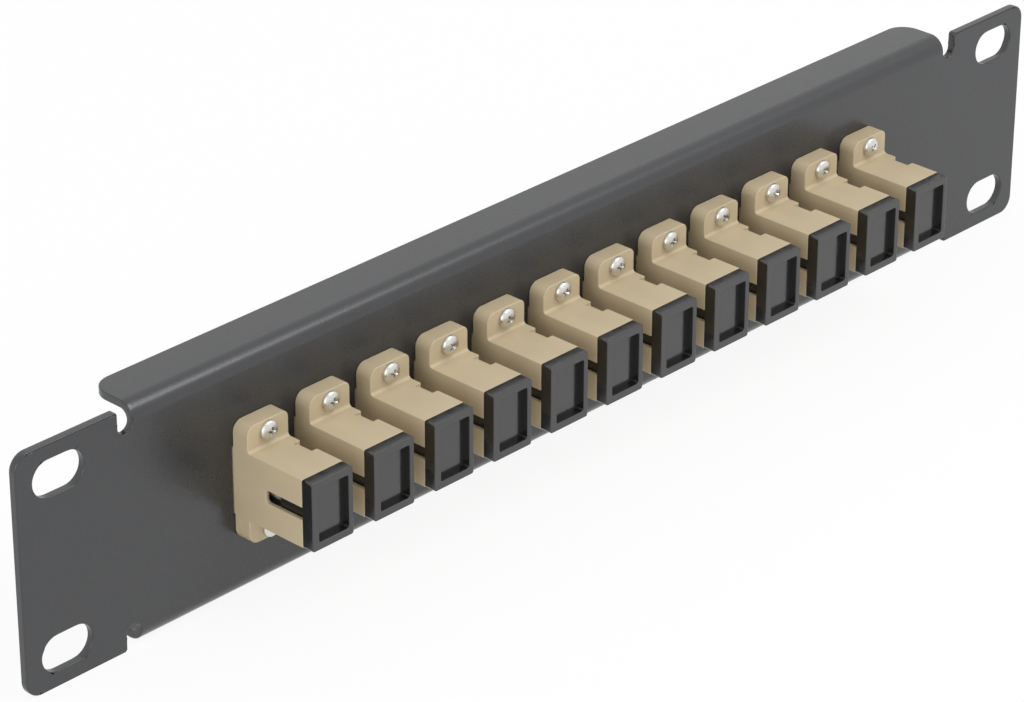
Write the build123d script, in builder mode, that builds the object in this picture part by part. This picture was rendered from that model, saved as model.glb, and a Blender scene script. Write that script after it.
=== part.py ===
# Ten-inch fibre patch panel: one folded steel sheet that carries twelve push-pull fibre adapters.
# Millimetres. X runs along the panel, Z is up and the front faces -Y. The origin is the centre of
# the four rack slots, on the rear face of the sheet, where the panel meets its rack rails.
import os

from build123d import *

# Rack slots
SLOT_SPACING_X = 236.5
SLOT_SPACING_Z = 31.75
SLOT_LENGTH = 10.6
SLOT_HEIGHT = 6.6

# Panel sheet, set out from the middle of its slots
SLOT_TO_END = 8.75
SLOT_TO_EDGE = 6.125
SLOT_TO_FOLD = 15.55
SHEET = 1.5
FLANGE_REACH = 9.0
BEND_INSIDE = 1.5
FLANGE_CORNER = 4.0
EAR_CORNER = 3.0
EAR_INNER_CHAMFER = 0.4
NOTCH_WIDTH = 3.1

# Row of adapters
ADAPTERS = 12
PITCH = 14.0
CUTOUT_CLEARANCE = 0.15

# Adapter housing
BODY_WIDTH = 9.2
BODY_HEIGHT = 12.6
BODY_REACH = 12.6
TAB_THICKNESS = 3.5
TAB_END = 2.0
TAB_LEFT_CORNER = 2.0
TAB_RIGHT_CORNER = 1.0
PORT_WIDTH = 7.5
PORT_HEIGHT = 9.1
KEYWAY_WIDTH = 2.3
KEYWAY_LENGTH = 8.5
KEYWAY_CORNER = 0.6
GROOVE_START = 2.7
GROOVE_WIDTH = 3.9
GROOVE_DEPTH = 0.5
GROOVE_WRAP = 1.6

# Alignment sleeve and the latch inserts that hold it
SLEEVE_DIAMETER = 3.2
SLEEVE_WALL = 0.35
SLEEVE_LENGTH = 11.4
SLEEVE_SLIT = 0.4
SLEEVE_CLEARANCE = 0.15
HOLDER_WALL = 0.75
HOLDER_PAST_SLEEVE = 0.6
INSERT_PLATE = 1.6
INSERT_CLEARANCE = 0.1
HOOK_BEHIND_CAP = 0.75
HOOK_WIDTH = 3.0
HOOK_THICKNESS = 0.8
HOOK_TIP = 1.4
HOOK_BARB = 0.45
HOOK_CLEARANCE = 0.3

# Dust caps
CAP_RIM = 2.4
CAP_RECESS = 1.2
CAP_LEFT_RIM = 1.5
CAP_RIGHT_RIM = 1.0
CAP_END_RIM = 1.4
CAP_PLUG = 6.0
CAP_PLUG_WALL = 0.8
CAP_PLUG_FLOOR = 0.6
CAP_CLEARANCE = 0.1

# Screws and nuts
SCREW_FROM_BODY = 2.7
SCREW_DIAMETER = 2.0
SCREW_CLEARANCE = 0.15
SCREW_PROUD = 0.6
HEAD_DIAMETER = 3.6
HEAD_HEIGHT = 1.1
NUT_ACROSS_FLATS = 4.0
NUT_HEIGHT = 1.6
THREAD_CLEARANCE = 0.03

# Small round shapes repeat by the dozen, so each has few sides.
SMALL_ROUND_SIDES = 8

# Places along Y, from the front of the sheet forwards
SHEET_FRONT = -SHEET
TAB_FRONT = SHEET_FRONT - TAB_THICKNESS
FRONT_FACE = TAB_FRONT - BODY_REACH
MIDDLE = SHEET_FRONT - TAB_THICKNESS / 2

# Sizes that follow from those above
PANEL_WIDTH = SLOT_SPACING_X + 2 * SLOT_TO_END
PANEL_HEIGHT = SLOT_SPACING_Z + 2 * SLOT_TO_EDGE
FOLD_LENGTH = SLOT_SPACING_X - 2 * SLOT_TO_FOLD
BEND_OUTSIDE = BEND_INSIDE + SHEET
NOTCH_DEPTH = BEND_OUTSIDE + NOTCH_WIDTH / 2
SCREW_SPACING = BODY_HEIGHT + 2 * SCREW_FROM_BODY
TAB_HEIGHT = SCREW_SPACING + 2 * TAB_END
SLEEVE_BORE = SLEEVE_DIAMETER / 2 + SLEEVE_CLEARANCE
HOLDER_RADIUS = SLEEVE_BORE + HOLDER_WALL


def facing_front(y):
    """The plane at this depth whose outward side is the front."""
    return Plane.XZ.offset(-y)


def small_round(radius, mode=Mode.ADD):
    """The outline of a small round bar, hole or corner."""
    return RegularPolygon(radius, SMALL_ROUND_SIDES, mode=mode)


# Folded sheet: a channel with both flanges bent backwards, and an ear at each end
with BuildPart() as panel:
    with BuildSketch(Plane.YZ.offset(-FOLD_LENGTH / 2)) as channel:
        with Locations((SHEET_FRONT, 0)):
            Rectangle(FLANGE_REACH + SHEET, PANEL_HEIGHT, align=(Align.MIN, Align.CENTER))
        fillet(channel.vertices().group_by(Axis.X)[0], BEND_OUTSIDE)
    extrude(amount=FOLD_LENGTH)
    with BuildSketch(Plane.YZ.offset(-FOLD_LENGTH / 2)) as channel_inside:
        Rectangle(FLANGE_REACH, PANEL_HEIGHT - 2 * SHEET, align=(Align.MIN, Align.CENTER))
        fillet(channel_inside.vertices().group_by(Axis.X)[0], BEND_INSIDE)
    extrude(amount=FOLD_LENGTH, mode=Mode.SUBTRACT)
    flange_corners = panel.edges().filter_by(Axis.Z).group_by(Axis.Y)[-1]
    fillet(flange_corners, FLANGE_CORNER)

    with BuildSketch(Plane.XZ) as ears:
        Rectangle(PANEL_WIDTH, PANEL_HEIGHT)
        fillet(ears.vertices(), EAR_CORNER)
        Rectangle(FOLD_LENGTH, PANEL_HEIGHT, mode=Mode.SUBTRACT)
        with GridLocations(FOLD_LENGTH + NOTCH_WIDTH, PANEL_HEIGHT, 2, 2):
            SlotOverall(2 * NOTCH_DEPTH, NOTCH_WIDTH, rotation=90, mode=Mode.SUBTRACT)
        notch_mouths = ears.vertices().filter_by_position(
            Axis.X, -FOLD_LENGTH / 2 - NOTCH_WIDTH, FOLD_LENGTH / 2 + NOTCH_WIDTH
        )
        chamfer(notch_mouths.group_by(Axis.Y)[0] + notch_mouths.group_by(Axis.Y)[-1], EAR_INNER_CHAMFER)
        with GridLocations(SLOT_SPACING_X, SLOT_SPACING_Z, 2, 2):
            SlotOverall(SLOT_LENGTH, SLOT_HEIGHT, mode=Mode.SUBTRACT)
    extrude(amount=SHEET)

    with BuildSketch(Plane.XZ) as adapter_holes:
        with GridLocations(PITCH, 1, ADAPTERS, 1):
            Rectangle(BODY_WIDTH + 2 * CUTOUT_CLEARANCE, BODY_HEIGHT + 2 * CUTOUT_CLEARANCE)
        with GridLocations(PITCH, SCREW_SPACING, ADAPTERS, 2):
            small_round(SCREW_DIAMETER / 2 + SCREW_CLEARANCE)
    extrude(amount=SHEET, mode=Mode.SUBTRACT)

# Adapter housing: the front half, then the same half mirrored behind the middle of its tabs
with BuildPart() as housing:
    with BuildSketch(facing_front(MIDDLE)):
        Rectangle(BODY_WIDTH, BODY_HEIGHT)
    extrude(amount=MIDDLE - FRONT_FACE)
    with BuildSketch(facing_front(MIDDLE)) as tabs:
        with Locations((TAB_LEFT_CORNER - BODY_WIDTH / 2, 0)):
            Rectangle(BODY_WIDTH - TAB_LEFT_CORNER, TAB_HEIGHT, align=(Align.MIN, Align.CENTER))
            with GridLocations(1, TAB_HEIGHT - 2 * TAB_LEFT_CORNER, 1, 2):
                small_round(TAB_LEFT_CORNER)
        make_hull()
        chamfer(tabs.vertices().group_by(Axis.X)[-1], TAB_RIGHT_CORNER)
        with GridLocations(1, SCREW_SPACING, 1, 2):
            small_round(SCREW_DIAMETER / 2 + SCREW_CLEARANCE, Mode.SUBTRACT)
    extrude(amount=MIDDLE - TAB_FRONT)

    with BuildSketch(facing_front(MIDDLE)):
        Rectangle(PORT_WIDTH, PORT_HEIGHT)
    extrude(amount=MIDDLE - FRONT_FACE, mode=Mode.SUBTRACT)

    with BuildSketch(Plane.YZ.offset(-BODY_WIDTH / 2)) as keyway:
        with Locations((FRONT_FACE, 0)):
            Rectangle(KEYWAY_LENGTH, KEYWAY_WIDTH, align=(Align.MIN, Align.CENTER))
        chamfer(keyway.vertices().group_by(Axis.X)[-1], KEYWAY_CORNER)
    extrude(amount=(BODY_WIDTH - PORT_WIDTH) / 2, mode=Mode.SUBTRACT)

    with BuildSketch(facing_front(TAB_FRONT - GROOVE_START)):
        with Locations((BODY_WIDTH / 2, 0)):
            Rectangle(GROOVE_WRAP, BODY_HEIGHT, align=(Align.MAX, Align.CENTER))
        with Locations((BODY_WIDTH / 2 - GROOVE_DEPTH, 0)):
            Rectangle(
                BODY_WIDTH,
                BODY_HEIGHT - 2 * GROOVE_DEPTH,
                align=(Align.MAX, Align.CENTER),
                mode=Mode.SUBTRACT,
            )
    extrude(amount=GROOVE_WIDTH, mode=Mode.SUBTRACT)
    mirror(about=facing_front(MIDDLE))

# Split sleeve that lines up the two fibre ends
with BuildPart() as sleeve:
    with BuildSketch(facing_front(MIDDLE)):
        small_round(SLEEVE_DIAMETER / 2)
        small_round(SLEEVE_DIAMETER / 2 - SLEEVE_WALL, Mode.SUBTRACT)
        Rectangle(SLEEVE_SLIT, SLEEVE_DIAMETER, align=(Align.CENTER, Align.MIN), mode=Mode.SUBTRACT)
    extrude(amount=SLEEVE_LENGTH / 2, both=True)

# Latch insert: a plate across the port, the sleeve's holder and two hooks that catch the plug
with BuildPart() as front_latch:
    with BuildSketch(facing_front(MIDDLE)):
        Rectangle(PORT_WIDTH - 2 * INSERT_CLEARANCE, PORT_HEIGHT - 2 * INSERT_CLEARANCE)
    extrude(amount=INSERT_PLATE)
    with BuildSketch(facing_front(MIDDLE)):
        small_round(HOLDER_RADIUS)
    extrude(amount=SLEEVE_LENGTH / 2 + HOLDER_PAST_SLEEVE)
    with BuildSketch(facing_front(MIDDLE)):
        small_round(SLEEVE_BORE)
    extrude(amount=SLEEVE_LENGTH, mode=Mode.SUBTRACT)
    hook_root = MIDDLE - INSERT_PLATE
    hook_end = FRONT_FACE + CAP_PLUG + HOOK_BEHIND_CAP
    hook_top = PORT_HEIGHT / 2 - HOOK_CLEARANCE
    hook_under = hook_top - HOOK_THICKNESS
    with BuildSketch(Plane.YZ):
        with BuildLine():
            Polyline(
                (hook_root, hook_top),
                (hook_end, hook_top),
                (hook_end, hook_under),
                (hook_end + HOOK_TIP, hook_under - HOOK_BARB),
                (hook_end + HOOK_TIP, hook_under),
                (hook_root, hook_under),
                close=True,
            )
        make_face()
        mirror(about=Plane.XZ)
    extrude(amount=HOOK_WIDTH / 2, both=True)

with BuildPart() as rear_latch:
    mirror(front_latch.part, about=facing_front(MIDDLE))

# Dust cap: a rim flush with the housing, with a shallow recess, and a hollow plug in the port
with BuildPart() as front_cap:
    with BuildSketch(facing_front(FRONT_FACE)):
        Rectangle(BODY_WIDTH, BODY_HEIGHT)
    extrude(amount=CAP_RIM)
    with BuildSketch(facing_front(FRONT_FACE - CAP_RIM)):
        with Locations((CAP_LEFT_RIM - BODY_WIDTH / 2, 0)):
            Rectangle(
                BODY_WIDTH - CAP_LEFT_RIM - CAP_RIGHT_RIM,
                BODY_HEIGHT - 2 * CAP_END_RIM,
                align=(Align.MIN, Align.CENTER),
            )
    extrude(amount=-CAP_RECESS, mode=Mode.SUBTRACT)
    with BuildSketch(facing_front(FRONT_FACE)) as plug_outline:
        Rectangle(PORT_WIDTH - 2 * CAP_CLEARANCE, PORT_HEIGHT - 2 * CAP_CLEARANCE)
    extrude(amount=-CAP_PLUG)
    with BuildSketch(facing_front(FRONT_FACE + CAP_PLUG)):
        Rectangle(
            PORT_WIDTH - 2 * (CAP_CLEARANCE + CAP_PLUG_WALL),
            PORT_HEIGHT - 2 * (CAP_CLEARANCE + CAP_PLUG_WALL),
        )
    extrude(amount=CAP_PLUG - CAP_PLUG_FLOOR, mode=Mode.SUBTRACT)

with BuildPart() as rear_cap:
    mirror(front_cap.part, about=facing_front(MIDDLE))

# Two pan-head screws through each adapter's tabs and the sheet, each with a nut behind it
with BuildPart() as mounting_screws:
    with BuildSketch(facing_front(TAB_FRONT)):
        with GridLocations(PITCH, SCREW_SPACING, ADAPTERS, 2):
            small_round(HEAD_DIAMETER / 2)
    extrude(amount=HEAD_HEIGHT)
    with BuildSketch(facing_front(TAB_FRONT)):
        with GridLocations(PITCH, SCREW_SPACING, ADAPTERS, 2):
            small_round(SCREW_DIAMETER / 2)
    extrude(amount=-(TAB_THICKNESS + SHEET + NUT_HEIGHT + SCREW_PROUD))

with BuildPart() as mounting_nuts:
    with BuildSketch(facing_front(NUT_HEIGHT)):
        with GridLocations(PITCH, SCREW_SPACING, ADAPTERS, 2):
            RegularPolygon(NUT_ACROSS_FLATS / 2, 6, major_radius=False)
            small_round(SCREW_DIAMETER / 2 + THREAD_CLEARANCE, Mode.SUBTRACT)
    extrude(amount=NUT_HEIGHT)

with BuildPart() as front_latch_inserts:
    with GridLocations(PITCH, 1, ADAPTERS, 1):
        add(front_latch.part)

with BuildPart() as rear_latch_inserts:
    with GridLocations(PITCH, 1, ADAPTERS, 1):
        add(rear_latch.part)


def save(piece, name):
    """Writes one piece to its own file, under its own name."""
    piece.label = name
    export_step(piece, f"parts/{name}.step")


os.makedirs("parts", exist_ok=True)
save(panel.part, "panel")
save(mounting_screws.part, "mounting_screws")
save(mounting_nuts.part, "mounting_nuts")
save(front_latch_inserts.part, "front_latch_inserts")
save(rear_latch_inserts.part, "rear_latch_inserts")
for number in range(1, ADAPTERS + 1):
    place = Location(((number - (ADAPTERS + 1) / 2) * PITCH, 0, 0))
    save(housing.part.moved(place), f"adapter_housing_{number:02d}")
    save(sleeve.part.moved(place), f"alignment_sleeve_{number:02d}")
    save(front_cap.part.moved(place), f"front_dust_cap_{number:02d}")
    save(rear_cap.part.moved(place), f"rear_dust_cap_{number:02d}")
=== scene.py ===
import math

import bmesh
import bpy
from mathutils import Matrix, Vector


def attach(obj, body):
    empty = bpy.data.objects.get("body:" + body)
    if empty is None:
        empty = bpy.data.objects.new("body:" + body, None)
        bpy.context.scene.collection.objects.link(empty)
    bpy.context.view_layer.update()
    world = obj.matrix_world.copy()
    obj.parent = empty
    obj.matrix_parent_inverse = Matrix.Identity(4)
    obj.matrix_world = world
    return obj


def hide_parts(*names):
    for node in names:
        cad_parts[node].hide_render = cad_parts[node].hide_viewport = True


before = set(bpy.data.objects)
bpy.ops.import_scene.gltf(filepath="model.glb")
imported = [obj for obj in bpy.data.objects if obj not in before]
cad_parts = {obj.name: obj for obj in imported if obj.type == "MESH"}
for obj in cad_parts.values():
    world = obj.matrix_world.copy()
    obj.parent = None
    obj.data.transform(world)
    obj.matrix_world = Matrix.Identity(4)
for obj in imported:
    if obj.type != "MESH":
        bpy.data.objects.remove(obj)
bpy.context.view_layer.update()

MM = 0.001

# Sizes in millimetres, as in the part's source. X runs along the panel, the front faces -Y and Z is up.
# Folded sheet
PANEL_WIDTH = 254.0
PANEL_HEIGHT = 44.0
SHEET = 1.5
FOLD_LENGTH = 205.4
FLANGE_REACH = 9.0
BEND_OUTSIDE = 3.0
FLANGE_CORNER = 4.0
EAR_CORNER = 3.0
EAR_INNER_CHAMFER = 0.4
NOTCH_WIDTH = 3.1
SLOT_SPACING_X = 236.5
SLOT_SPACING_Z = 31.75
SLOT_LENGTH = 10.6
SLOT_HEIGHT = 6.6
SHEET_EDGE_ROUND = 0.22

# Row of adapters
ADAPTERS = 12
PITCH = 14.0
CUTOUT_CLEARANCE = 0.15

# Adapter housing
BODY_WIDTH = 9.2
BODY_HEIGHT = 12.6
TAB_THICKNESS = 3.5
BODY_REACH = 12.6
TAB_HEIGHT = 22.0
TAB_LEFT_CORNER = 2.0
TAB_RIGHT_CORNER = 1.2
TAB_ROOT_FILLET = 0.6
PORT_WIDTH = 7.5
PORT_HEIGHT = 9.1
PORT_CORNER = 0.3
KEYWAY_WIDTH = 2.3
KEYWAY_LENGTH = 8.5
KEYWAY_CORNER = 0.6
GROOVE_START = 2.7
GROOVE_WIDTH = 3.9
GROOVE_DEPTH = 0.5
GROOVE_WRAP = 1.6
HOUSING_EDGE_ROUND = 0.16

# Latch insert and alignment sleeve
INSERT_PLATE = 1.6
INSERT_CLEARANCE = 0.1
INSERT_CORNER = 0.3
HOLDER_RADIUS = 2.5
HOLDER_LEAD = 0.3
SLEEVE_BORE = 1.75
SLEEVE_RADIUS = 1.6
SLEEVE_WALL = 0.35
SLEEVE_LENGTH = 11.4
SLEEVE_SLIT = 0.4
HOLDER_LENGTH = 6.3
HOOK_BEHIND_CAP = 0.75
HOOK_WIDTH = 3.0
HOOK_THICKNESS = 0.8
HOOK_TIP = 1.4
HOOK_BARB = 0.45
HOOK_CLEARANCE = 0.3
INSERT_EDGE_ROUND = 0.08

# Dust cap
CAP_RIM = 2.4
CAP_RECESS = 1.2
CAP_LEFT_RIM = 1.5
CAP_RIGHT_RIM = 1.0
CAP_END_RIM = 1.4
CAP_CORNER = 0.45
CAP_RECESS_CORNER = 0.35
CAP_PLUG = 6.0
CAP_PLUG_WALL = 0.8
CAP_PLUG_FLOOR = 0.6
CAP_PLUG_CORNER = 0.4
CAP_HOLLOW_CORNER = 0.3
CAP_CLEARANCE = 0.1
CAP_EDGE_ROUND = 0.14

# Screws and nuts
SCREW_SPACING = 18.0
SCREW_RADIUS = 1.0
SCREW_HOLE_RADIUS = 1.15
SCREW_TIP = 2.2
THREAD_PITCH = 0.4
THREAD_DEPTH = 0.16
TIP_CHAMFER_LENGTH = 0.12
TIP_CHAMFER = 0.25
HEAD_RADIUS = 1.8
HEAD_HEIGHT = 1.1
HEAD_SHOULDER = 0.4
HEAD_RIM = 0.08
CROSS_REACH = 1.05
CROSS_WIDTH = 0.42
CROSS_DEPTH = 0.65
CROSS_TAPER = 0.45
NUT_FLAT_RADIUS = 2.0
NUT_HEIGHT = 1.6
NUT_CHAMFER = 0.28
NUT_CHAMFER_HEIGHT = NUT_CHAMFER * 0.6
NUT_BORE_RADIUS = SCREW_RADIUS + 0.03
NUT_LEAD = 0.2

# How far a cutter reaches past what it cuts, and how deep a joined solid sits in what carries it
PAST = 0.5
SUNK = 0.3

# Places along Y
SHEET_FRONT = -SHEET
TAB_FRONT = SHEET_FRONT - TAB_THICKNESS
FRONT_FACE = TAB_FRONT - BODY_REACH
MIDDLE = SHEET_FRONT - TAB_THICKNESS / 2


def behind(y):
    """The place behind the middle of the tabs that answers to y in front of it."""
    return 2 * MIDDLE - y


def place_of(number):
    """The adapter's place along X."""
    return (number - (ADAPTERS - 1) / 2) * PITCH


# Meshes


def piece_of(name, points, faces):
    """A new object at the origin, from points in millimetres."""
    mesh = bpy.data.meshes.new(name)
    mesh.from_pydata([[c * MM for c in p] for p in points], [], faces)
    mesh.validate()
    piece = bpy.data.objects.new(name, mesh)
    bpy.context.scene.collection.objects.link(piece)
    return piece


def outward(piece):
    """Merges doubled points and turns all faces outwards."""
    same_place = 1e-7
    shape = bmesh.new()
    shape.from_mesh(piece.data)
    bmesh.ops.remove_doubles(shape, verts=shape.verts[:], dist=same_place)
    bmesh.ops.recalc_face_normals(shape, faces=shape.faces[:])
    shape.to_mesh(piece.data)
    shape.free()
    return piece


def arc(centre, radius, start, end, steps):
    """Points on an arc, angles in degrees."""
    return [
        (
            centre[0] + radius * math.cos(math.radians(start + (end - start) * i / steps)),
            centre[1] + radius * math.sin(math.radians(start + (end - start) * i / steps)),
        )
        for i in range(steps + 1)
    ]


def round_hole(x, z, radius, sides=16):
    """The corners of a round hole."""
    return arc((x, z), radius, 0, 360 - 360 / sides, sides - 1)


def rounded_box(left, right, low, high, corners, steps=5):
    """A rectangle whose corner radii go right-top, left-top, left-bottom, right-bottom."""
    outline = []
    places = (
        (right, high, -1, -1, 0),
        (left, high, 1, -1, 90),
        (left, low, 1, 1, 180),
        (right, low, -1, 1, 270),
    )
    for (x, z, inward_x, inward_z, start), radius in zip(places, corners):
        if radius:
            centre = (x + inward_x * radius, z + inward_z * radius)
            outline += arc(centre, radius, start, start + 90, steps)
        else:
            outline.append((x, z))
    return outline


def prism(name, outline, low, high, along="y"):
    """A closed bar with this outline. Along y the outline is (x, z), along x it is (y, z)."""
    count = len(outline)
    if along == "y":
        points = [(a, low, b) for a, b in outline] + [(a, high, b) for a, b in outline]
    else:
        points = [(low, a, b) for a, b in outline] + [(high, a, b) for a, b in outline]
    faces = [list(range(count)), list(range(2 * count - 1, count - 1, -1))]
    faces += [[i, i + count, (i + 1) % count + count, (i + 1) % count] for i in range(count)]
    return outward(piece_of(name, points, faces))


def turned(name, profile, sides=32):
    """A shape turned about a Y axis through the origin, from (radius, y) pairs; radius 0 is a pole."""
    points, rings = [], []
    for radius, y in profile:
        if radius == 0:
            rings.append([len(points)])
            points.append((0, y, 0))
        else:
            rings.append(list(range(len(points), len(points) + sides)))
            for i in range(sides):
                angle = 2 * math.pi * i / sides
                points.append((radius * math.cos(angle), y, radius * math.sin(angle)))
    faces = []
    for a, b in zip(rings, rings[1:]):
        for i in range(sides):
            j = (i + 1) % sides
            if len(a) == 1:
                faces.append([a[0], b[i], b[j]])
            elif len(b) == 1:
                faces.append([a[i], b[0], a[j]])
            else:
                faces.append([a[i], b[i], b[j], a[j]])
    return outward(piece_of(name, points, faces))


def baked(piece):
    """Turns the piece, modifiers and all, into a plain mesh."""
    graph = bpy.context.evaluated_depsgraph_get()
    mesh = bpy.data.meshes.new_from_object(
        piece.evaluated_get(graph), preserve_all_data_layers=True, depsgraph=graph
    )
    piece.modifiers.clear()
    piece.data = mesh
    return piece


def combine(piece, tools, how):
    """Joins solids to the piece, cuts them out of it or keeps what they share, then deletes them."""
    for tool in tools:
        step = piece.modifiers.new("combine", "BOOLEAN")
        step.operation = how
        step.solver = "EXACT"
        step.object = tool
        baked(piece)
        bpy.data.objects.remove(tool)
    return piece


def soften(piece, width, segments=2, angle=35):
    """Rounds outer edges sharper than the angle, leaves inner corners crisp and keeps flats even."""
    shape = bmesh.new()
    shape.from_mesh(piece.data)
    rounded = shape.edges.layers.float.new("bevel_weight_edge")
    for face in shape.faces:
        face.smooth = True
    for edge in shape.edges:
        if edge.is_manifold and edge.calc_face_angle() > math.radians(angle):
            edge[rounded] = 1.0 if edge.is_convex else 0.0
            edge.smooth = edge.is_convex
    shape.to_mesh(piece.data)
    shape.free()
    edges = piece.modifiers.new("edges", "BEVEL")
    edges.width = width * MM
    edges.segments = segments
    edges.limit_method = "WEIGHT"
    edges.use_clamp_overlap = False
    edges.miter_outer = "MITER_ARC"
    large_faces_count_more = 60
    flats = piece.modifiers.new("flats", "WEIGHTED_NORMAL")
    flats.keep_sharp = True
    flats.weight = large_faces_count_more
    return baked(piece)


def smooth_by_angle(piece, angle=35):
    """Smooth faces, with the edges sharper than this angle left crisp."""
    for face in piece.data.polygons:
        face.use_smooth = True
    piece.data.set_sharp_from_angle(angle=math.radians(angle))
    return piece


# Repeats


def row_tree():
    """Repeats a piece on a grid in X and Z, each one turned about Y by a share of the largest turn."""
    tree = bpy.data.node_groups.new("Row of pieces", "GeometryNodeTree")
    sockets = tree.interface
    sockets.new_socket("Piece", in_out="INPUT", socket_type="NodeSocketGeometry")
    for name, kind in (
        ("Columns", "NodeSocketInt"),
        ("Column spacing", "NodeSocketFloat"),
        ("Rows", "NodeSocketInt"),
        ("Row spacing", "NodeSocketFloat"),
        ("Largest turn", "NodeSocketFloat"),
        ("Seed", "NodeSocketInt"),
        ("Finish", "NodeSocketMaterial"),
    ):
        sockets.new_socket(name, in_out="INPUT", socket_type=kind)
    sockets.new_socket("Row", in_out="OUTPUT", socket_type="NodeSocketGeometry")
    nodes, links = tree.nodes, tree.links
    given = nodes.new("NodeGroupInput")
    result = nodes.new("NodeGroupOutput")

    def length(count, spacing):
        """From the first piece of a row to the last."""
        gaps = nodes.new("ShaderNodeMath")
        gaps.operation = "SUBTRACT"
        gaps.inputs[1].default_value = 1
        links.new(given.outputs[count], gaps.inputs[0])
        total = nodes.new("ShaderNodeMath")
        total.operation = "MULTIPLY"
        links.new(gaps.outputs[0], total.inputs[0])
        links.new(given.outputs[spacing], total.inputs[1])
        return total.outputs[0]

    grid = nodes.new("GeometryNodeMeshGrid")
    links.new(length("Columns", "Column spacing"), grid.inputs["Size X"])
    links.new(length("Rows", "Row spacing"), grid.inputs["Size Y"])
    links.new(given.outputs["Columns"], grid.inputs["Vertices X"])
    links.new(given.outputs["Rows"], grid.inputs["Vertices Y"])
    upright = nodes.new("GeometryNodeTransform")
    upright.inputs["Rotation"].default_value = (math.pi / 2, 0, 0)
    links.new(grid.outputs["Mesh"], upright.inputs["Geometry"])
    turn = nodes.new("FunctionNodeRandomValue")
    turn.data_type = "FLOAT"
    number_out = [socket for socket in turn.outputs if socket.enabled][0]
    largest = [socket for socket in turn.inputs if socket.enabled and socket.name == "Max"][0]
    seed = [socket for socket in turn.inputs if socket.enabled and socket.name == "Seed"][0]
    links.new(given.outputs["Largest turn"], largest)
    links.new(given.outputs["Seed"], seed)
    about_y = nodes.new("ShaderNodeCombineXYZ")
    links.new(number_out, about_y.inputs["Y"])
    place = nodes.new("GeometryNodeInstanceOnPoints")
    links.new(upright.outputs["Geometry"], place.inputs["Points"])
    links.new(given.outputs["Piece"], place.inputs["Instance"])
    links.new(about_y.outputs["Vector"], place.inputs["Rotation"])
    real = nodes.new("GeometryNodeRealizeInstances")
    links.new(place.outputs["Instances"], real.inputs["Geometry"])
    finish = nodes.new("GeometryNodeSetMaterial")
    links.new(real.outputs["Geometry"], finish.inputs["Geometry"])
    links.new(given.outputs["Finish"], finish.inputs["Material"])
    links.new(finish.outputs["Geometry"], result.inputs["Row"])
    return tree


ROW = row_tree()


def in_rows(piece, finish, rows=1, turn=0.0, seed=0):
    """Repeats the piece at every adapter, in one row or two, as one plain mesh."""
    values = {
        "Columns": ADAPTERS,
        "Column spacing": PITCH * MM,
        "Rows": rows,
        "Row spacing": SCREW_SPACING * MM,
        "Largest turn": turn,
        "Seed": seed,
        "Finish": finish,
    }
    step = piece.modifiers.new("row", "NODES")
    step.node_group = ROW
    for socket in ROW.interface.items_tree:
        if socket.in_out == "INPUT" and socket.name in values:
            step[socket.identifier] = values[socket.name]
    return baked(piece)


# Finishes


def finish_of(name, colour, roughness, metallic=0.0):
    """A new material: its nodes, its shader and the piece's own coordinates."""
    material = bpy.data.materials.new(name)
    material.use_nodes = True
    nodes, links = material.node_tree.nodes, material.node_tree.links
    shader = nodes["Principled BSDF"]
    shader.inputs["Base Color"].default_value = (*colour, 1)
    shader.inputs["Roughness"].default_value = roughness
    shader.inputs["Metallic"].default_value = metallic
    place = nodes.new("ShaderNodeTexCoord")
    return material, nodes, links, shader, place.outputs["Object"]


def grain(nodes, links, place, scale, detail=2.0, stretch=(1, 1, 1)):
    """Noise over the piece, scale in features a metre."""
    mapping = nodes.new("ShaderNodeMapping")
    mapping.inputs["Scale"].default_value = stretch
    links.new(place, mapping.inputs["Vector"])
    noise = nodes.new("ShaderNodeTexNoise")
    noise.inputs["Scale"].default_value = scale
    noise.inputs["Detail"].default_value = detail
    links.new(mapping.outputs["Vector"], noise.inputs["Vector"])
    return noise.outputs["Fac"]


def spread(nodes, links, value, low, high, start=0.3, end=0.7):
    """A number from low to high as value goes from start to end, the noise's usual range."""
    ramp = nodes.new("ShaderNodeMapRange")
    ramp.inputs["From Min"].default_value = start
    ramp.inputs["From Max"].default_value = end
    ramp.inputs["To Min"].default_value = low
    ramp.inputs["To Max"].default_value = high
    links.new(value, ramp.inputs["Value"])
    return ramp.outputs["Result"]


def two_tones(nodes, links, value, dark, light):
    """A colour from dark to light as the noise goes through its usual range."""
    mix = nodes.new("ShaderNodeMix")
    mix.data_type = "RGBA"
    a, b = [socket for socket in mix.inputs if socket.type == "RGBA"]
    a.default_value = (*dark, 1)
    b.default_value = (*light, 1)
    links.new(spread(nodes, links, value, 0, 1), mix.inputs["Factor"])
    return [socket for socket in mix.outputs if socket.type == "RGBA"][0]


def relief(nodes, links, shader, value, depth, strength):
    """Fine bumps of this depth in millimetres."""
    bump = nodes.new("ShaderNodeBump")
    bump.inputs["Strength"].default_value = strength
    bump.inputs["Distance"].default_value = depth * MM
    links.new(value, bump.inputs["Height"])
    links.new(bump.outputs["Normal"], shader.inputs["Normal"])


def shade_of(colour, factor):
    """The colour, darker below 1 and lighter above."""
    return tuple(c * factor for c in colour)


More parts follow.
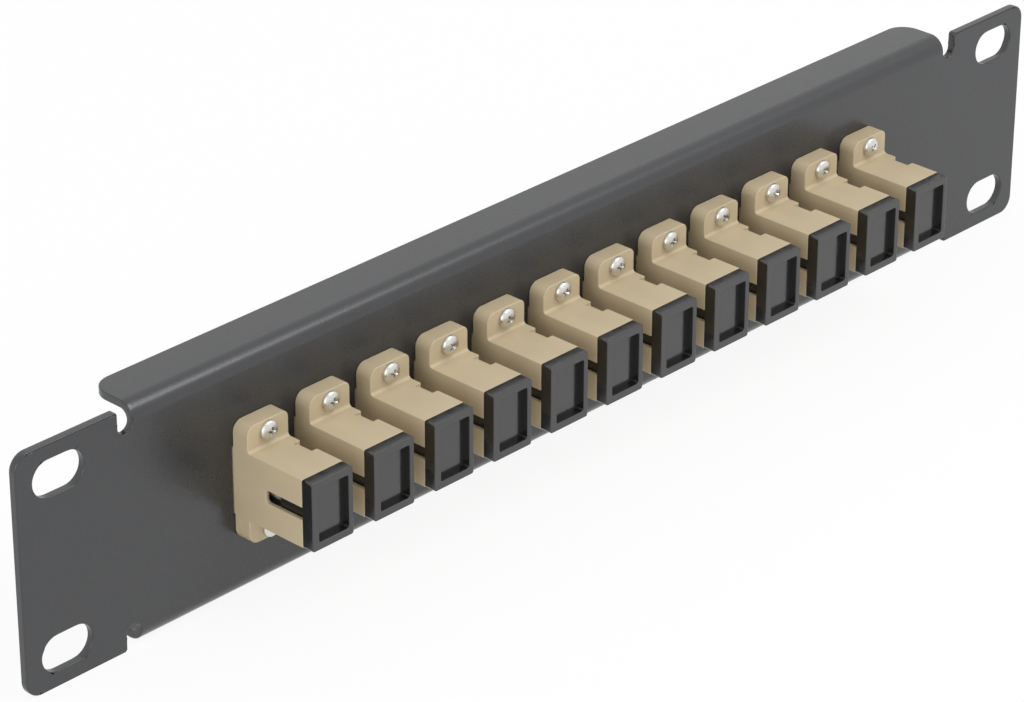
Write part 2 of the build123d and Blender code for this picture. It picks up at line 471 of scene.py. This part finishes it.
def moulded(name, colour, roughness, texture, depth, specular=0.5):
    """Moulded plastic: fine spark texture, faint flow marks and uneven gloss."""
    material, nodes, links, shader, place = finish_of(name, colour, roughness)
    shader.inputs["Specular IOR Level"].default_value = specular
    uneven = 0.05
    flow = grain(nodes, links, place, scale=180, detail=3, stretch=(1, 0.35, 1))
    tone = two_tones(nodes, links, flow, shade_of(colour, 1 - uneven), shade_of(colour, 1 + uneven))
    links.new(tone, shader.inputs["Base Color"])
    gloss = grain(nodes, links, place, scale=650)
    links.new(spread(nodes, links, gloss, roughness - 0.05, roughness + 0.07), shader.inputs["Roughness"])
    spark = grain(nodes, links, place, scale=texture)
    relief(nodes, links, shader, spark, depth, strength=0.35)
    return material


def powder_coated(name, colour, roughness, specular):
    """Satin powder coat: a fine orange peel with faint cloudiness."""
    material, nodes, links, shader, place = finish_of(name, colour, roughness)
    shader.inputs["Specular IOR Level"].default_value = specular
    cloud = grain(nodes, links, place, scale=28, detail=3)
    tone = two_tones(nodes, links, cloud, shade_of(colour, 0.94), shade_of(colour, 1.06))
    links.new(tone, shader.inputs["Base Color"])
    gloss = grain(nodes, links, place, scale=500)
    links.new(spread(nodes, links, gloss, roughness - 0.02, roughness + 0.02), shader.inputs["Roughness"])
    peel = grain(nodes, links, place, scale=1700)
    relief(nodes, links, shader, peel, depth=0.03, strength=0.35)
    return material


def bright_metal(name, colour, roughness, stretch=(1, 1, 1)):
    """Plated or drawn metal, with fine marks that a stretch below 1 draws out along that way."""
    material, nodes, links, shader, place = finish_of(name, colour, roughness, 1.0)
    marks = grain(nodes, links, place, scale=900, detail=3, stretch=stretch)
    tone = two_tones(nodes, links, marks, shade_of(colour, 0.86), colour)
    links.new(tone, shader.inputs["Base Color"])
    links.new(spread(nodes, links, marks, roughness - 0.06, roughness + 0.1), shader.inputs["Roughness"])
    relief(nodes, links, shader, marks, depth=0.01, strength=0.3)
    return material


COAT = powder_coated("Satin grey powder coat", (0.0235, 0.0245, 0.027), roughness=0.28, specular=0.7)
BEIGE = moulded("Moulded beige plastic", (0.50, 0.41, 0.268), roughness=0.5, texture=2600, depth=0.02)
BLACK = moulded(
    "Moulded black plastic",
    (0.010, 0.0095, 0.009),
    roughness=0.17,
    texture=3000,
    depth=0.004,
    specular=0.95,
)
NATURAL = moulded("Moulded natural plastic", (0.52, 0.50, 0.44), roughness=0.45, texture=3000, depth=0.012)
PLATED = bright_metal("Bright nickel plate", (0.74, 0.73, 0.70), roughness=0.30)
BRONZE = bright_metal("Bright phosphor bronze", (0.78, 0.52, 0.30), roughness=0.28, stretch=(1, 0.1, 1))


def dressed(piece, finish, body, slot, *nodes):
    """Gives the piece its finish, sets it on its body and lets it stand for its CAD nodes."""
    piece.data.materials.clear()
    piece.data.materials.append(finish)
    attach(piece, body)
    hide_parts(*nodes)
    return piece


# Folded sheet


def sheet_outline():
    """The flat pattern's edge, (x, along the sheet), anticlockwise from the right-hand end."""
    bend = BEND_OUTSIDE * math.pi / 2
    flat_end = PANEL_HEIGHT / 2 - BEND_OUTSIDE
    flange_end = flat_end + bend + FLANGE_REACH + SHEET - BEND_OUTSIDE
    ear_top = PANEL_HEIGHT / 2
    half = FOLD_LENGTH / 2
    notch_radius = NOTCH_WIDTH / 2
    quarter = arc((PANEL_WIDTH / 2 - EAR_CORNER, ear_top - EAR_CORNER), EAR_CORNER, 0, 90, steps=8)
    quarter.append((half + NOTCH_WIDTH + EAR_INNER_CHAMFER, ear_top))
    quarter.append((half + NOTCH_WIDTH, ear_top - EAR_INNER_CHAMFER))
    quarter += arc((half + notch_radius, flat_end), notch_radius, 0, -180, steps=12)
    quarter += arc((half - FLANGE_CORNER, flange_end - FLANGE_CORNER), FLANGE_CORNER, 0, 90, steps=8)
    upper = quarter + [(-x, s) for x, s in reversed(quarter)]
    return upper + [(x, -s) for x, s in reversed(upper)]


def sheet_holes():
    """The flat pattern's holes."""
    holes = []
    half_slot = SLOT_LENGTH / 2 - SLOT_HEIGHT / 2
    for x in (-SLOT_SPACING_X / 2, SLOT_SPACING_X / 2):
        for z in (-SLOT_SPACING_Z / 2, SLOT_SPACING_Z / 2):
            holes.append(
                arc((x + half_slot, z), SLOT_HEIGHT / 2, -90, 90, steps=16)
                + arc((x - half_slot, z), SLOT_HEIGHT / 2, 90, 270, steps=16)
            )
    half_width = BODY_WIDTH / 2 + CUTOUT_CLEARANCE
    half_height = BODY_HEIGHT / 2 + CUTOUT_CLEARANCE
    for number in range(ADAPTERS):
        x = place_of(number)
        left, right = x - half_width, x + half_width
        low, high = -half_height, half_height
        holes.append([(left, low), (right, low), (right, high), (left, high)])
        for z in (-SCREW_SPACING / 2, SCREW_SPACING / 2):
            holes.append(round_hole(x, z, SCREW_HOLE_RADIUS))
    return holes


def folded(x, along, depth):
    """Where a point of the flat sheet, this deep below its front, goes when the flanges are bent back."""
    flat_end = PANEL_HEIGHT / 2 - BEND_OUTSIDE
    side = 1 if along > 0 else -1
    beyond = abs(along) - flat_end
    on_ear = abs(x) > (FOLD_LENGTH + NOTCH_WIDTH) / 2
    if beyond <= 0 or on_ear:
        return (x, SHEET_FRONT + depth, along)
    angle = beyond / BEND_OUTSIDE
    if angle < math.pi / 2:
        radius = BEND_OUTSIDE - depth
        return (
            x,
            SHEET_FRONT + BEND_OUTSIDE - radius * math.cos(angle),
            side * (flat_end + radius * math.sin(angle)),
        )
    return (
        x,
        SHEET_FRONT + BEND_OUTSIDE + beyond - BEND_OUTSIDE * math.pi / 2,
        side * (PANEL_HEIGHT / 2 - depth),
    )


def folded_sheet():
    """The panel: a flat pattern filled, cut at its bend lines, given its thickness and folded."""
    flat = bmesh.new()
    for loop in [sheet_outline()] + sheet_holes():
        corners = [flat.verts.new((a, b, 0)) for a, b in loop]
        for i, corner in enumerate(corners):
            flat.edges.new((corners[i - 1], corner))
    bmesh.ops.triangle_fill(flat, use_beauty=True, edges=flat.edges[:], normal=(0, 0, 1))
    flat_end = PANEL_HEIGHT / 2 - BEND_OUTSIDE
    bend_steps = 10
    on_line = 1e-5
    for side in (-1, 1):
        for i in range(bend_steps + 1):
            line = side * (flat_end + BEND_OUTSIDE * math.pi / 2 * i / bend_steps)
            whole = flat.verts[:] + flat.edges[:] + flat.faces[:]
            bmesh.ops.bisect_plane(
                flat, geom=whole, dist=on_line, plane_co=(0, line, 0), plane_no=(0, 1, 0)
            )
    flat.verts.index_update()
    count = len(flat.verts)
    front = [folded(v.co.x, v.co.y, 0) for v in flat.verts]
    back = [folded(v.co.x, v.co.y, SHEET) for v in flat.verts]
    faces = [[v.index for v in face.verts] for face in flat.faces]
    faces += [[i + count for i in reversed(face)] for face in faces]
    for edge in flat.edges:
        if edge.is_boundary:
            a, b = edge.verts[0].index, edge.verts[1].index
            faces.append([a, b, b + count, a + count])
    flat.free()
    sheet = outward(piece_of("folded_sheet", front + back, faces))
    return soften(sheet, SHEET_EDGE_ROUND, segments=3, angle=40)


# Adapter


def housing_side():
    """The housing seen from its left, (y, z): its body, its tabs and the radius at their roots."""
    body, top, r = BODY_HEIGHT / 2, TAB_HEIGHT / 2, TAB_ROOT_FILLET
    upper = [(SHEET_FRONT, body), (SHEET_FRONT, top), (TAB_FRONT, top)]
    upper += arc((TAB_FRONT - r, body + r), r, 0, -90, steps=6)
    upper.append((FRONT_FACE, body))
    lower = [(y, -z) for y, z in reversed(upper)]
    return lower + [(behind(FRONT_FACE), -body), (behind(FRONT_FACE), body)] + upper


def corner_cut(side, end, radius):
    """What rounds off one corner of a tab."""
    x, z = BODY_WIDTH / 2, TAB_HEIGHT / 2
    curve = arc((x - radius, z - radius), radius, 0, 90, steps=8)
    outline = [(x + PAST, z - radius)] + curve + [(x - radius, z + PAST), (x + PAST, z + PAST)]
    outline = [(side * a, end * b) for a, b in outline]
    return prism("corner", outline, TAB_FRONT - PAST, SHEET_FRONT + PAST)


def housing_shape():
    """One adapter housing at the middle of the row."""
    half_width, half_height = BODY_WIDTH / 2, BODY_HEIGHT / 2
    housing = prism("housing", housing_side(), -half_width, half_width, "x")
    port_x, port_z = PORT_WIDTH / 2, PORT_HEIGHT / 2
    port = rounded_box(-port_x, port_x, -port_z, port_z, (PORT_CORNER,) * 4, steps=3)
    cuts = [prism("port", port, FRONT_FACE - PAST, behind(FRONT_FACE) + PAST)]
    for end in (-1, 1):
        cuts.append(corner_cut(-1, end, TAB_LEFT_CORNER))
        cuts.append(corner_cut(1, end, TAB_RIGHT_CORNER))
        hole = round_hole(0, end * SCREW_SPACING / 2, SCREW_HOLE_RADIUS)
        cuts.append(prism("screw_hole", hole, TAB_FRONT - PAST, SHEET_FRONT + PAST))
    wrap, floor = half_width - GROOVE_WRAP, half_width - GROOVE_DEPTH
    groove = [
        (wrap, half_height + PAST),
        (half_width + PAST, half_height + PAST),
        (half_width + PAST, -half_height - PAST),
        (wrap, -half_height - PAST),
        (wrap, GROOVE_DEPTH - half_height),
        (floor, GROOVE_DEPTH - half_height),
        (floor, half_height - GROOVE_DEPTH),
        (wrap, half_height - GROOVE_DEPTH),
    ]
    groove_end = TAB_FRONT - GROOVE_START
    key = rounded_box(
        FRONT_FACE - PAST,
        FRONT_FACE + KEYWAY_LENGTH,
        -KEYWAY_WIDTH / 2,
        KEYWAY_WIDTH / 2,
        (KEYWAY_CORNER, 0, 0, KEYWAY_CORNER),
    )
    for place in (lambda y: y, behind):
        low, high = sorted((place(groove_end - GROOVE_WIDTH), place(groove_end)))
        cuts.append(prism("groove", groove, low, high))
        keyway = [(place(y), z) for y, z in key]
        cuts.append(prism("keyway", keyway, -half_width - PAST, PAST - port_x, "x"))
    combine(housing, cuts, "DIFFERENCE")
    return soften(outward(housing), HOUSING_EDGE_ROUND)


def cap_shape():
    """One front dust cap at the middle of the row."""
    half_width, half_height = BODY_WIDTH / 2, BODY_HEIGHT / 2
    front = FRONT_FACE - CAP_RIM
    cap = prism(
        "cap",
        rounded_box(-half_width, half_width, -half_height, half_height, (CAP_CORNER,) * 4),
        front,
        FRONT_FACE,
    )
    plug_x = PORT_WIDTH / 2 - CAP_CLEARANCE
    plug_z = PORT_HEIGHT / 2 - CAP_CLEARANCE
    plug_outline = rounded_box(-plug_x, plug_x, -plug_z, plug_z, (CAP_PLUG_CORNER,) * 4)
    plug = prism("plug", plug_outline, FRONT_FACE - SUNK, FRONT_FACE + CAP_PLUG)
    combine(cap, [plug], "UNION")
    hollow_x, hollow_z = plug_x - CAP_PLUG_WALL, plug_z - CAP_PLUG_WALL
    recess = prism(
        "recess",
        rounded_box(
            CAP_LEFT_RIM - half_width,
            half_width - CAP_RIGHT_RIM,
            CAP_END_RIM - half_height,
            half_height - CAP_END_RIM,
            (CAP_RECESS_CORNER,) * 4,
        ),
        front - PAST,
        front + CAP_RECESS,
    )
    hollow = prism(
        "hollow",
        rounded_box(-hollow_x, hollow_x, -hollow_z, hollow_z, (CAP_HOLLOW_CORNER,) * 4),
        FRONT_FACE + CAP_PLUG_FLOOR,
        FRONT_FACE + CAP_PLUG + PAST,
    )
    combine(cap, [recess, hollow], "DIFFERENCE")
    return soften(outward(cap), CAP_EDGE_ROUND)


def insert_shape():
    """One front latch insert: its plate, the sleeve's holder and two hooks."""
    half_x = PORT_WIDTH / 2 - INSERT_CLEARANCE
    half_z = PORT_HEIGHT / 2 - INSERT_CLEARANCE
    plate = rounded_box(-half_x, half_x, -half_z, half_z, (INSERT_CORNER,) * 4, steps=3)
    insert = prism("front_inserts", plate, MIDDLE - INSERT_PLATE, MIDDLE)
    mouth = MIDDLE - HOLDER_LENGTH
    short_of_rear = 0.2
    in_plate = MIDDLE - short_of_rear
    holder = turned(
        "holder",
        [
            (0, in_plate),
            (HOLDER_RADIUS, in_plate),
            (HOLDER_RADIUS, mouth + HOLDER_LEAD),
            (HOLDER_RADIUS - HOLDER_LEAD, mouth),
            (0, mouth),
        ],
    )
    root = MIDDLE - INSERT_PLATE
    end = FRONT_FACE + CAP_PLUG + HOOK_BEHIND_CAP
    top = PORT_HEIGHT / 2 - HOOK_CLEARANCE
    under = top - HOOK_THICKNESS
    hook = [
        (root + SUNK, top),
        (end, top),
        (end, under),
        (end + HOOK_TIP, under - HOOK_BARB),
        (end + HOOK_TIP, under),
        (root + SUNK, under),
    ]
    hooks = []
    for side in (1, -1):
        outline = [(y, side * z) for y, z in hook]
        hooks.append(prism("hook", outline, -HOOK_WIDTH / 2, HOOK_WIDTH / 2, "x"))
    combine(insert, [holder] + hooks, "UNION")
    flare = HOLDER_LEAD / 2
    bore = turned(
        "bore",
        [
            (0, MIDDLE + PAST),
            (SLEEVE_BORE, MIDDLE + PAST),
            (SLEEVE_BORE, mouth + flare),
            (SLEEVE_BORE + 2 * flare, mouth - flare),
            (0, mouth - flare),
        ],
    )
    combine(insert, [bore], "DIFFERENCE")
    return soften(outward(insert), INSERT_EDGE_ROUND)


def sleeve_shape():
    """One split sleeve."""
    gap = math.degrees(math.asin(SLEEVE_SLIT / 2 / SLEEVE_RADIUS))
    outline = arc((0, 0), SLEEVE_RADIUS, 90 + gap, 450 - gap, steps=36)
    outline += arc((0, 0), SLEEVE_RADIUS - SLEEVE_WALL, 450 - gap, 90 + gap, steps=36)
    sleeve = prism("sleeves", outline, MIDDLE - SLEEVE_LENGTH / 2, MIDDLE + SLEEVE_LENGTH / 2)
    return smooth_by_angle(sleeve)


def screw_shape():
    """One pan-head screw with a cross recess and a rolled thread."""
    top = TAB_FRONT - HEAD_HEIGHT
    rise = HEAD_HEIGHT - HEAD_SHOULDER
    dome = []
    for degrees in range(12, 91, 13):
        angle = math.radians(degrees)
        dome.append((HEAD_RADIUS * math.sin(angle), TAB_FRONT - HEAD_SHOULDER - rise * math.cos(angle)))
    rim = [(HEAD_RADIUS, TAB_FRONT - HEAD_RIM), (HEAD_RADIUS - HEAD_RIM, TAB_FRONT), (0, TAB_FRONT)]
    head = turned("screws", [(0, top)] + dome + rim, sides=28)
    arm, half = CROSS_REACH, CROSS_WIDTH / 2
    cross = [
        (arm, -half), (arm, half), (half, half), (half, arm), (-half, arm), (-half, half),
        (-arm, half), (-arm, -half), (-half, -half), (-half, -arm), (half, -arm), (half, -half),
    ]
    recess = prism("cross", cross, top - SUNK, top + CROSS_DEPTH)
    deep = max(v.co.y for v in recess.data.vertices)
    for v in recess.data.vertices:
        if v.co.y == deep:
            v.co.x *= CROSS_TAPER
            v.co.z *= CROSS_TAPER
    combine(head, [recess], "DIFFERENCE")
    head = outward(head)
    into_head = 0.05
    shank = thread("shank", TAB_FRONT - into_head, SCREW_TIP)
    merged = bmesh.new()
    merged.from_mesh(head.data)
    merged.from_mesh(shank.data)
    merged.to_mesh(head.data)
    merged.free()
    bpy.data.objects.remove(shank)
    return smooth_by_angle(head, 40)


def thread(name, start, end, sides=18):
    """A shank, plain as far as the sheet, then with a rolled thread, and at its end a small chamfer."""
    threaded_from = SHEET_FRONT
    run_out = end - TIP_CHAMFER_LENGTH
    points, faces = [], []
    levels = [(start, 0), (threaded_from, 0)]
    steps = 4
    turns = (end - threaded_from) / THREAD_PITCH
    for i in range(1, int(turns * steps)):
        levels.append((threaded_from + i * THREAD_PITCH / steps, i))
    for y, i in levels:
        for j in range(sides):
            angle = 2 * math.pi * j / sides
            if i:
                along = y + THREAD_PITCH * j / sides
                phase = (i % steps) / steps
                radius = SCREW_RADIUS - THREAD_DEPTH * abs(2 * phase - 1)
            else:
                along, radius = y, SCREW_RADIUS
            if along > run_out:
                along, radius = run_out, SCREW_RADIUS - THREAD_DEPTH
            points.append((radius * math.cos(angle), along, radius * math.sin(angle)))
    tip = SCREW_RADIUS - TIP_CHAMFER
    for j in range(sides):
        angle = 2 * math.pi * j / sides
        points.append((tip * math.cos(angle), end, tip * math.sin(angle)))
    rings = len(levels) + 1
    for k in range(rings - 1):
        for j in range(sides):
            a, b = k * sides + j, k * sides + (j + 1) % sides
            faces.append([a, b, b + sides, a + sides])
    faces.append(list(range(sides)))
    faces.append(list(range((rings - 1) * sides, rings * sides)))
    return outward(piece_of(name, points, faces))


def nut_shape():
    """One hexagon nut, its corners turned down on both sides."""
    corner = NUT_FLAT_RADIUS / math.cos(math.pi / 6)
    hexagon = [(corner * math.cos(math.pi / 3 * i), corner * math.sin(math.pi / 3 * i)) for i in range(6)]
    nut = prism("nuts", hexagon, 0, NUT_HEIGHT)
    rim = corner - NUT_CHAMFER
    clear_of_corners = corner + 0.02
    cone = turned(
        "turning",
        [
            (0, 0),
            (rim, 0),
            (clear_of_corners, NUT_CHAMFER_HEIGHT),
            (clear_of_corners, NUT_HEIGHT - NUT_CHAMFER_HEIGHT),
            (rim, NUT_HEIGHT),
            (0, NUT_HEIGHT),
        ],
        sides=48,
    )
    combine(nut, [cone], "INTERSECT")
    mouth = NUT_BORE_RADIUS + 2 * NUT_LEAD
    bore = turned(
        "bore",
        [
            (0, -NUT_LEAD),
            (mouth, -NUT_LEAD),
            (NUT_BORE_RADIUS, NUT_LEAD),
            (NUT_BORE_RADIUS, NUT_HEIGHT - NUT_LEAD),
            (mouth, NUT_HEIGHT + NUT_LEAD),
            (0, NUT_HEIGHT + NUT_LEAD),
        ],
        sides=24,
    )
    combine(nut, [bore], "DIFFERENCE")
    return smooth_by_angle(outward(nut), 25)


def moved(piece, x, name, mirrored=False):
    """A copy of the piece's mesh, mirrored behind the middle of the tabs if asked, and set at x."""
    mesh = piece.data.copy()
    copy = bpy.data.objects.new(name, mesh)
    bpy.context.scene.collection.objects.link(copy)
    if mirrored:
        mesh.transform(Matrix.Translation((0, 2 * MIDDLE * MM, 0)) @ Matrix.Diagonal((1, -1, 1, 1)))
        mesh.flip_normals()
    mesh.transform(Matrix.Translation((x * MM, 0, 0)))
    return copy


ROOT = "panel_and_adapters"
NUMBERS = [f"{i + 1:02d}" for i in range(ADAPTERS)]

dressed(folded_sheet(), COAT, ROOT, "sheet_paint", "panel")
screws = in_rows(screw_shape(), PLATED, rows=2, turn=math.pi / 2, seed=4)
dressed(screws, PLATED, ROOT, "screw_steel", "mounting_screws")
dressed(in_rows(nut_shape(), PLATED, rows=2), PLATED, ROOT, "screw_steel", "mounting_nuts")
sleeve_nodes = [f"alignment_sleeve_{number}" for number in NUMBERS]
dressed(in_rows(sleeve_shape(), BRONZE), BRONZE, ROOT, "sleeve_bronze", *sleeve_nodes)
front_insert = insert_shape()
rear_insert = moved(front_insert, 0, "rear_inserts", mirrored=True)
dressed(in_rows(front_insert, NATURAL), NATURAL, ROOT, "insert_plastic", "front_latch_inserts")
dressed(in_rows(rear_insert, NATURAL), NATURAL, ROOT, "insert_plastic", "rear_latch_inserts")

housing = housing_shape()
cap = cap_shape()
for i, number in enumerate(NUMBERS):
    x = place_of(i)
    front, rear = f"front_cap_{number}", f"rear_cap_{number}"
    body = moved(housing, x, f"housing_{number}")
    dressed(body, BEIGE, ROOT, "adapter_plastic", f"adapter_housing_{number}")
    dressed(moved(cap, x, front), BLACK, front, "cap_plastic", f"front_dust_cap_{number}")
    dressed(moved(cap, x, rear, mirrored=True), BLACK, rear, "cap_plastic", f"rear_dust_cap_{number}")
bpy.data.objects.remove(housing)
bpy.data.objects.remove(cap)


# Stage, light and camera


def seen_white(nodes, links):
    """1 for what the camera sees straight, in a gloss or through something clear."""
    path = nodes.new("ShaderNodeLightPath")
    total = path.outputs["Is Camera Ray"]
    for kind in ("Is Glossy Ray", "Is Transmission Ray"):
        larger = nodes.new("ShaderNodeMath")
        larger.operation = "MAXIMUM"
        links.new(total, larger.inputs[0])
        links.new(path.outputs[kind], larger.inputs[1])
        total = larger.outputs[0]
    return total


def studio_floor():
    """A plain white floor just under the panel, near full white where seen, with the panel's shadow."""
    reach = 3000.0
    gap = 0.01
    white_where_seen = 0.9
    level = -PANEL_HEIGHT / 2 - gap
    square = ((-reach, -reach), (reach, -reach), (reach, reach), (-reach, reach))
    floor = piece_of("floor", [(x, y, level) for x, y in square], [[0, 1, 2, 3]])
    material = bpy.data.materials.new("White floor")
    material.use_nodes = True
    nodes, links = material.node_tree.nodes, material.node_tree.links
    shader = nodes["Principled BSDF"]
    shader.inputs["Base Color"].default_value = (0.85, 0.85, 0.85, 1)
    shader.inputs["Roughness"].default_value = 0.9
    shader.inputs["Specular IOR Level"].default_value = 0.0
    white = nodes.new("ShaderNodeEmission")
    white.inputs["Strength"].default_value = 1.0
    share = nodes.new("ShaderNodeMath")
    share.operation = "MULTIPLY"
    share.inputs[1].default_value = white_where_seen
    links.new(seen_white(nodes, links), share.inputs[0])
    mix = nodes.new("ShaderNodeMixShader")
    links.new(share.outputs[0], mix.inputs[0])
    links.new(shader.outputs[0], mix.inputs[1])
    links.new(white.outputs[0], mix.inputs[2])
    links.new(mix.outputs[0], nodes["Material Output"].inputs["Surface"])
    floor.data.materials.append(material)


def studio_world():
    """White surroundings: full white where seen, softer as light."""
    as_light = 0.85
    where_seen = 1.0
    world = bpy.data.worlds.new("Studio")
    bpy.context.scene.world = world
    world.use_nodes = True
    nodes, links = world.node_tree.nodes, world.node_tree.links
    background = nodes["Background"]
    background.inputs["Color"].default_value = (1, 1, 1, 1)
    strength = nodes.new("ShaderNodeMapRange")
    strength.inputs["To Min"].default_value = as_light
    strength.inputs["To Max"].default_value = where_seen
    links.new(seen_white(nodes, links), strength.inputs["Value"])
    links.new(strength.outputs["Result"], background.inputs["Strength"])


def soft_lamp(name, place, size, energy):
    """A square soft lamp aimed at the panel."""
    lamp = bpy.data.lights.new(name, "AREA")
    lamp.size = size
    lamp.energy = energy
    holder = bpy.data.objects.new(name, lamp)
    bpy.context.scene.collection.objects.link(holder)
    holder.location = place
    holder.rotation_euler = Vector(place).to_track_quat("Z", "Y").to_euler()


def photo_camera():
    """The photograph's viewpoint."""
    azimuth = math.radians(-46.40)
    elevation = math.radians(27.36)
    roll = math.radians(0.18)
    distance = 732.71
    right_shift = 9.84
    up_shift = 6.28
    back = Vector(
        (
            math.sin(azimuth) * math.cos(elevation),
            -math.cos(azimuth) * math.cos(elevation),
            math.sin(elevation),
        )
    )
    level_right = Vector((0, 0, 1)).cross(back).normalized()
    level_up = back.cross(level_right)
    right = math.cos(roll) * level_right + math.sin(roll) * level_up
    up = -math.sin(roll) * level_right + math.cos(roll) * level_up
    eye = distance * back - right_shift * right - up_shift * up
    data = bpy.data.cameras.new("Camera")
    data.sensor_width = 36.0
    data.lens = 146.16
    camera = bpy.data.objects.new("Camera", data)
    bpy.context.scene.collection.objects.link(camera)
    turn = Matrix((right, up, back)).transposed().to_4x4()
    camera.matrix_world = Matrix.Translation(eye * MM) @ turn
    bpy.context.scene.camera = camera


studio_floor()
studio_world()
soft_lamp("Key", place=(0.36, -0.55, 0.95), size=0.6, energy=4.6)
soft_lamp("Fill", place=(-1.1, -0.37, 0.25), size=0.8, energy=4.4)
photo_camera()
bpy.context.scene.view_settings.view_transform = "Standard"
